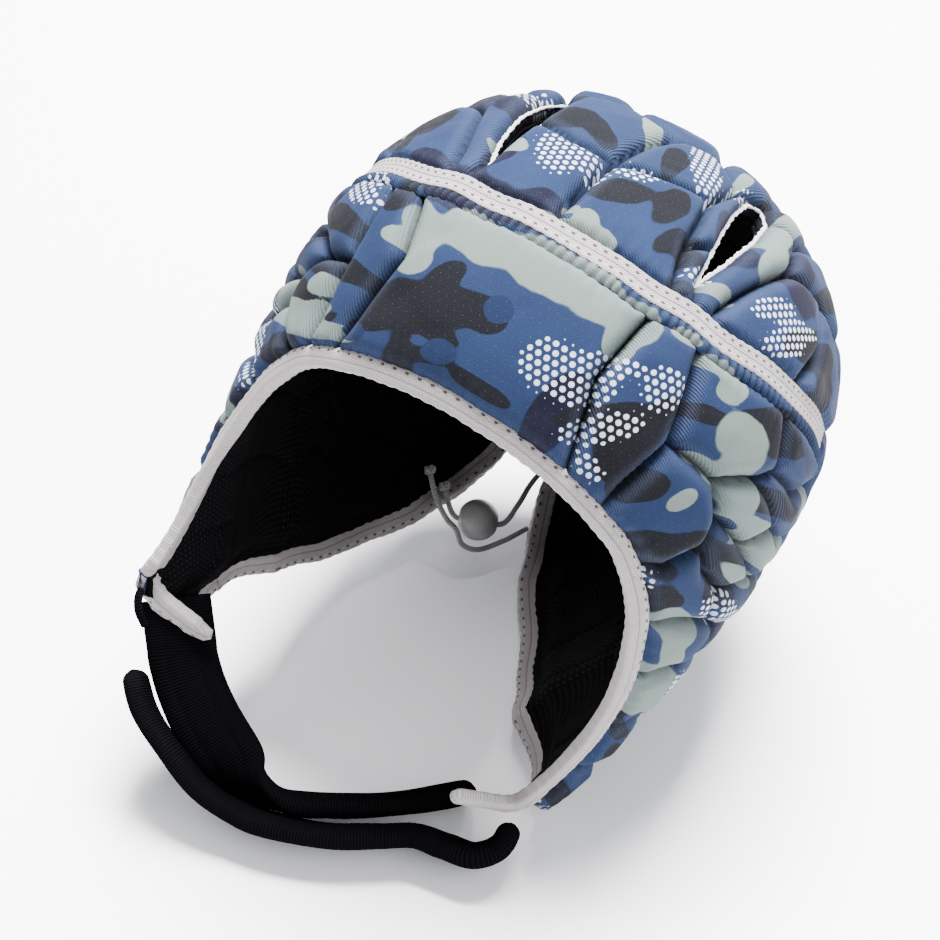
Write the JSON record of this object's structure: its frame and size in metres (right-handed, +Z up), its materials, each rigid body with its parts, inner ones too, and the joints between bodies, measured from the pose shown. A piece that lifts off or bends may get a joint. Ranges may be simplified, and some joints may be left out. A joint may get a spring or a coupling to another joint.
{
  "type": "scrum cap",
  "caption": "Padded fabric rugby scrum cap with bound face and neck openings, crown vent slots, nape lace with a ball cord lock and a black chin strap.",
  "frame": {"origin": "centre of the whole cap's box on the surface it rests on", "axes": "+Z up; the face opening looks toward -Y and down, the wearer's left is +X"},
  "size_m": [0.2272, 0.2546, 0.2275],
  "materials": {
    "shell_fabric": "camouflage knit",
    "lining_fabric": "open mesh knit",
    "binding_tape": "ribbed woven tape",
    "strap_fabric": "padded knit",
    "lace_cord": "braided",
    "toggle_plastic": "satin"
  },
  "bodies": {
    "root": {"panel_forehead": "shell_fabric", "panel_side_left": "shell_fabric", "panel_side_right": "shell_fabric", "panel_crown": "shell_fabric", "panel_back_left": "shell_fabric", "panel_back_right": "shell_fabric", "lining_forehead": "lining_fabric", "lining_side_left": "lining_fabric", "lining_side_right": "lining_fabric", "lining_crown": "lining_fabric", "lining_back_left": "lining_fabric", "lining_back_right": "lining_fabric", "face_binding": "binding_tape", "neck_binding": "binding_tape", "crown_tape": "binding_tape", "toggle": "toggle_plastic", "lace_lower": "lace_cord", "lace_upper": "lace_cord", "chin_strap_inner": "strap_fabric", "chin_strap_outer": "strap_fabric"}
  },
  "joints": []
}
